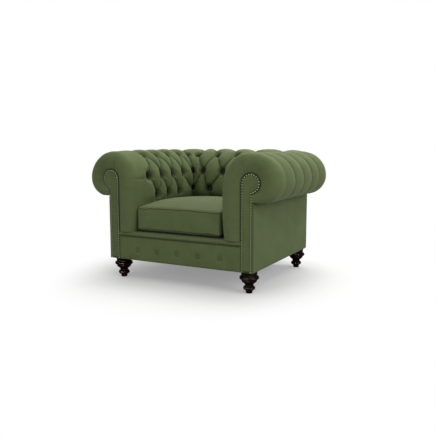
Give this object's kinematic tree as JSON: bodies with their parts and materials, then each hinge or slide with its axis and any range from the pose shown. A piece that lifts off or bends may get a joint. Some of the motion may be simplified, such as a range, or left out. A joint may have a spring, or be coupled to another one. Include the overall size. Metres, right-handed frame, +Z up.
{
  "type": "armchair",
  "caption": "Rolled-arm chesterfield armchair with deep-buttoned arms and back, a loose box cushion, nail-trimmed arm fronts and turned feet.",
  "frame": {"origin": "on the floor, under the middle of the chair's bounding box", "axes": "+X across the chair to the right as seen from the front, +Y to the back, +Z up"},
  "size_m": [1.182, 0.976, 0.7298],
  "materials": {
    "cover_fabric": "soft brushed weave, olive green",
    "deck_fabric": "plain platform cloth over padding",
    "foot_wood": "turned hardwood, dark espresso gloss lacquer",
    "frame_timber": "planed hardwood, unfinished",
    "nail_brass": "aged brass",
    "bolt_steel": "plain steel",
    "dust_cloth": "thin black non-woven cloth",
    "zip_tape": "woven tape with fine teeth"
  },
  "bodies": {
    "chair": {"arm_facing_left": "cover_fabric", "arm_facing_right": "cover_fabric", "arm_roll_left": "cover_fabric", "arm_roll_right": "cover_fabric", "arm_tack_rail_left": "frame_timber", "arm_tack_rail_right": "frame_timber", "arm_top_rail_left": "frame_timber", "arm_top_rail_right": "frame_timber", "back_roll": "cover_fabric", "back_tack_rail": "frame_timber", "back_top_rail": "frame_timber", "border_button_1": "cover_fabric", "border_button_2": "cover_fabric", "border_button_3": "cover_fabric", "border_button_4": "cover_fabric", "border_button_5": "cover_fabric", "border_welt": "cover_fabric", "corner_block_front_left": "frame_timber", "corner_block_front_right": "frame_timber", "corner_block_rear_left": "frame_timber", "corner_block_rear_right": "frame_timber", "dust_cover": "dust_cloth", "foot_bolt_front_left": "bolt_steel", "foot_bolt_front_right": "bolt_steel", "foot_bolt_rear_left": "bolt_steel", "foot_bolt_rear_right": "bolt_steel", "foot_front_left": "foot_wood", "foot_front_right": "foot_wood", "foot_rear_left": "foot_wood", "foot_rear_right": "foot_wood", "front_border": "cover_fabric", "front_lip": "cover_fabric", "front_post_left": "frame_timber", "front_post_right": "frame_timber", "nail_trim_left": "nail_brass", "nail_trim_right": "nail_brass", "outside_arm_left": "cover_fabric", "outside_arm_right": "cover_fabric", "outside_back": "cover_fabric", "outside_tack_rail_back": "frame_timber", "outside_tack_rail_left": "frame_timber", "outside_tack_rail_right": "frame_timber", "rail_back": "frame_timber", "rail_cross": "frame_timber", "rail_front": "frame_timber", "rail_left": "frame_timber", "rail_right": "frame_timber", "rear_post_left": "frame_timber", "rear_post_right": "frame_timber", "seat_deck": "deck_fabric", "seat_spring_1": "bolt_steel", "seat_spring_2": "bolt_steel", "seat_spring_3": "bolt_steel", "seat_spring_4": "bolt_steel"},
    "cushion": {"seat_cushion": "cover_fabric", "cushion_zip": "zip_tape"},
    "zip_slider": {"zip_pull": "nail_brass"}
  },
  "joints": [
    {"name": "cushion_lift", "type": "slide", "parent": "chair", "child": "cushion", "axis": [0, 0, 1], "range_m": [0, 0.5]},
    {"name": "zip_slide", "type": "slide", "parent": "cushion", "child": "zip_slider", "axis": [-1, 0, 0], "range_m": [0, 0.366]}
  ]
}
